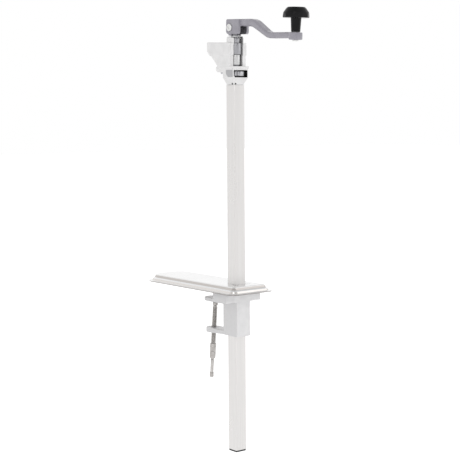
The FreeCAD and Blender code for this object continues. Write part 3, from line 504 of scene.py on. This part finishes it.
def make_base_plate():
    """Pressed tray, upside down: flat rim, a step and a raised middle."""
    low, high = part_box("base_plate")
    top = (high[2] - low[2]) / MM
    outer = [(0.1, 0.0), (0.0, 0.5), (0.3, SHEET), *OUTSIDE_FOLD, (12.0, top), (14.6, top)]
    inner = [(14.6, top - SHEET), (13.2, top - SHEET), *INSIDE_FOLD, (0.1, 0.0)]
    rings = [plate_ring(inset, height) for inset, height in rounded_profile(outer, 1.0)]
    rings.append(post_hole_ring(top))
    rings.append(post_hole_ring(top - SHEET))
    rings += [plate_ring(inset, height) for inset, height in rounded_profile(inner, 0.6)[:-1]]
    points, faces = skin(rings, closed_ends=False)
    count = len(rings[0])
    last = len(points) - count
    for step in range(count):
        after = (step + 1) % count
        faces.append((last + step, last + after, after, step))
    piece = add_piece("base_plate_pressed", mesh_from("base_plate_pressed", points, faces), "base_plate")
    flat_top = piece.modifiers.new("flat_top", "WEIGHTED_NORMAL")
    flat_top.keep_sharp = True


# ---- clamp screw --------------------------------------------------------------------------
THREAD_REACH = (15.2 * MM, 76.6 * MM)     # from the handle's hinge, along the screw
PITCH = 1.25 * MM
THREAD_ROOT = 3.3 * MM
THREAD_CREST = 3.97 * MM
THREAD_STEPS = 8
AROUND = 40


def thread_radius(share):
    """Radius across one pitch: flat root, flank, narrow crest, flank."""
    height = max(0.0, min(1.0, 1.25 * (1.0 - abs(2.0 * share - 1.0)) - 0.1))
    return THREAD_ROOT + (THREAD_CREST - THREAD_ROOT) * height


def make_clamp_screw():
    """Threaded rod above a forged fork, drawn upright from the hinge and leaned over."""
    bottom, top = THREAD_REACH
    rows = int((top - bottom) / PITCH) + 2
    rings = []
    for row in range(rows * THREAD_STEPS + 1):
        ring = []
        for step in range(AROUND):
            turn = step / AROUND
            z = bottom - PITCH + (row / THREAD_STEPS + turn) * PITCH
            held = min(max(z, bottom), top)
            runout = min(1.0, max(0.0, (top - z) / (2 * PITCH)), max(0.0, (z - bottom) / (2 * PITCH)))
            depth = thread_radius(row % THREAD_STEPS / THREAD_STEPS) - THREAD_ROOT
            radius = THREAD_ROOT + depth * runout
            angle = 2 * math.pi * turn
            ring.append(SCREW_FRAME @ Vector((radius * math.cos(angle), radius * math.sin(angle), held)))
        rings.append(ring)
    points, faces = skin(rings)
    add_piece("clamp_screw_thread", mesh_from("clamp_screw_thread", points, faces), "clamp_screw")

    fork = softened("clamp_screw", 0.22 * MM, 6, 0.5)
    shape = bmesh.new()
    shape.from_mesh(fork)
    cut = bmesh.ops.bisect_plane(shape, geom=shape.verts[:] + shape.edges[:] + shape.faces[:],
                                 plane_co=SCREW_FRAME @ Vector((0, 0, bottom + 0.3 * MM)),
                                 plane_no=SCREW_FRAME.to_3x3() @ Vector((0, 0, 1)), clear_outer=True)
    rim = [item for item in cut["geom_cut"] if isinstance(item, bmesh.types.BMEdge)]
    bmesh.ops.edgeloop_fill(shape, edges=rim)
    shape.to_mesh(fork)
    shape.free()
    add_piece("clamp_screw_fork", fork, "clamp_screw")


def make_everything():
    for node, (voxel, passes, keep) in SOFTENED.items():
        add_piece(node + "_cast", softened(node, voxel, passes, keep), node)
    make_base_plate()
    make_clamp_screw()
    replaced = {*SOFTENED, "base_plate", "clamp_screw"}
    for node in NODES:
        if node not in replaced:
            carry(node)


make_everything()


# ---- studio -------------------------------------------------------------------------------
VIEW_AZIMUTH = math.radians(-38.5)
VIEW_PITCH = math.radians(5.5)
VIEW_ROLL = math.radians(-0.35)
VIEW_DISTANCE = 1.93
EYE_ABOVE_MIDDLE = 0.2474    # from the middle of the tube
SENSOR_WIDTH = 36.0
LENS = 97.83
SENSOR_SHIFT = -0.0134
TOWARDS_VIEWER = Vector((math.sin(VIEW_AZIMUTH), -math.cos(VIEW_AZIMUTH), 0.0))
FLOOR_DROP = 0.32            # the post slides down by almost this much
FLOOR_GLOW = 0.3
FLOOR_GLOW_SEEN = 0.5        # what the camera sees
SKY = 1.29
SKY_BEHIND_VIEWER = 1.2
SKY_OVERHEAD = 0.69          # share of the sky's brightness that is left high up


def make_camera():
    data = bpy.data.cameras.new("camera")
    data.sensor_width = SENSOR_WIDTH
    data.lens = LENS
    data.shift_x = SENSOR_SHIFT
    camera = bpy.data.objects.new("camera", data)
    bpy.context.scene.collection.objects.link(camera)
    eye = TUBE + TOWARDS_VIEWER * VIEW_DISTANCE + Vector((0, 0, EYE_ABOVE_MIDDLE))
    pan = Matrix.Rotation(VIEW_AZIMUTH, 4, "Z")
    tilt = Matrix.Rotation(math.radians(90) - VIEW_PITCH, 4, "X")
    roll = Matrix.Rotation(VIEW_ROLL, 4, "Z")
    camera.matrix_world = Matrix.Translation(eye) @ pan @ tilt @ roll
    bpy.context.scene.camera = camera


def add_area(name, place, size, power):
    """Soft lamp that points at the tube."""
    data = bpy.data.lights.new(name, "AREA")
    data.shape = "RECTANGLE"
    data.size, data.size_y = size
    data.energy = power
    light = bpy.data.objects.new(name, data)
    bpy.context.scene.collection.objects.link(light)
    light.location = place
    light.rotation_euler = (TUBE - Vector(place)).to_track_quat("-Z", "Y").to_euler()


def make_sky():
    """White to the camera; the sky that lights the object is darker overhead and behind the viewer."""
    world = bpy.data.worlds.new("studio")
    bpy.context.scene.world = world
    world.use_nodes = True
    tree = world.node_tree
    backdrop = tree.nodes["Background"]
    backdrop.inputs["Color"].default_value = (1, 1, 1, 1)
    sky = tree.nodes.new("ShaderNodeBackground")
    direction = tree.nodes.new("ShaderNodeTexCoord").outputs["Generated"]
    toward = tree.nodes.new("ShaderNodeVectorMath")
    toward.operation = "DOT_PRODUCT"
    toward.inputs[1].default_value = TOWARDS_VIEWER
    tree.links.new(direction, toward.inputs[0])
    shade = remap(tree, toward.outputs["Value"], 0.1, 1.0, SKY, SKY_BEHIND_VIEWER)
    split = tree.nodes.new("ShaderNodeSeparateXYZ")
    tree.links.new(direction, split.inputs["Vector"])
    overhead = remap(tree, split.outputs["Z"], 0.55, 0.66, 1.0, SKY_OVERHEAD)
    tree.links.new(multiply(tree, shade, overhead), sky.inputs["Strength"])
    seen = tree.nodes.new("ShaderNodeLightPath").outputs["Is Camera Ray"]
    mix = tree.nodes.new("ShaderNodeMixShader")
    tree.links.new(seen, mix.inputs["Fac"])
    tree.links.new(sky.outputs["Background"], mix.inputs[1])
    tree.links.new(backdrop.outputs["Background"], mix.inputs[2])
    tree.links.new(mix.outputs["Shader"], tree.nodes["World Output"].inputs["Surface"])


def make_floor():
    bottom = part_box("post_end_cap")[0][2]
    bpy.ops.mesh.primitive_plane_add(size=40, location=(0, 0, bottom - FLOOR_DROP))
    floor = bpy.context.object
    floor.name = "floor"
    finish = Finish("floor", (0.9, 0.9, 0.9), 0.8)
    finish.shader.inputs["Emission Color"].default_value = (1, 1, 1, 1)
    seen = finish.tree.nodes.new("ShaderNodeLightPath").outputs["Is Camera Ray"]
    glow = remap(finish.tree, seen, 0.0, 1.0, FLOOR_GLOW, FLOOR_GLOW_SEEN)
    finish.link(glow, finish.shader.inputs["Emission Strength"])
    finish.bump(finish.noise(0.02, 2.0), 0.0001)
    floor.data.materials.append(finish.material)


def make_studio():
    bpy.context.scene.view_settings.view_transform = "Standard"
    make_sky()
    make_floor()
    add_area("key", (-1.6, -1.4, 1.6), (1.2, 1.2), 6)
    add_area("fill", (1.6, -1.2, 0.9), (0.8, 1.6), 2)


make_camera()
make_studio()
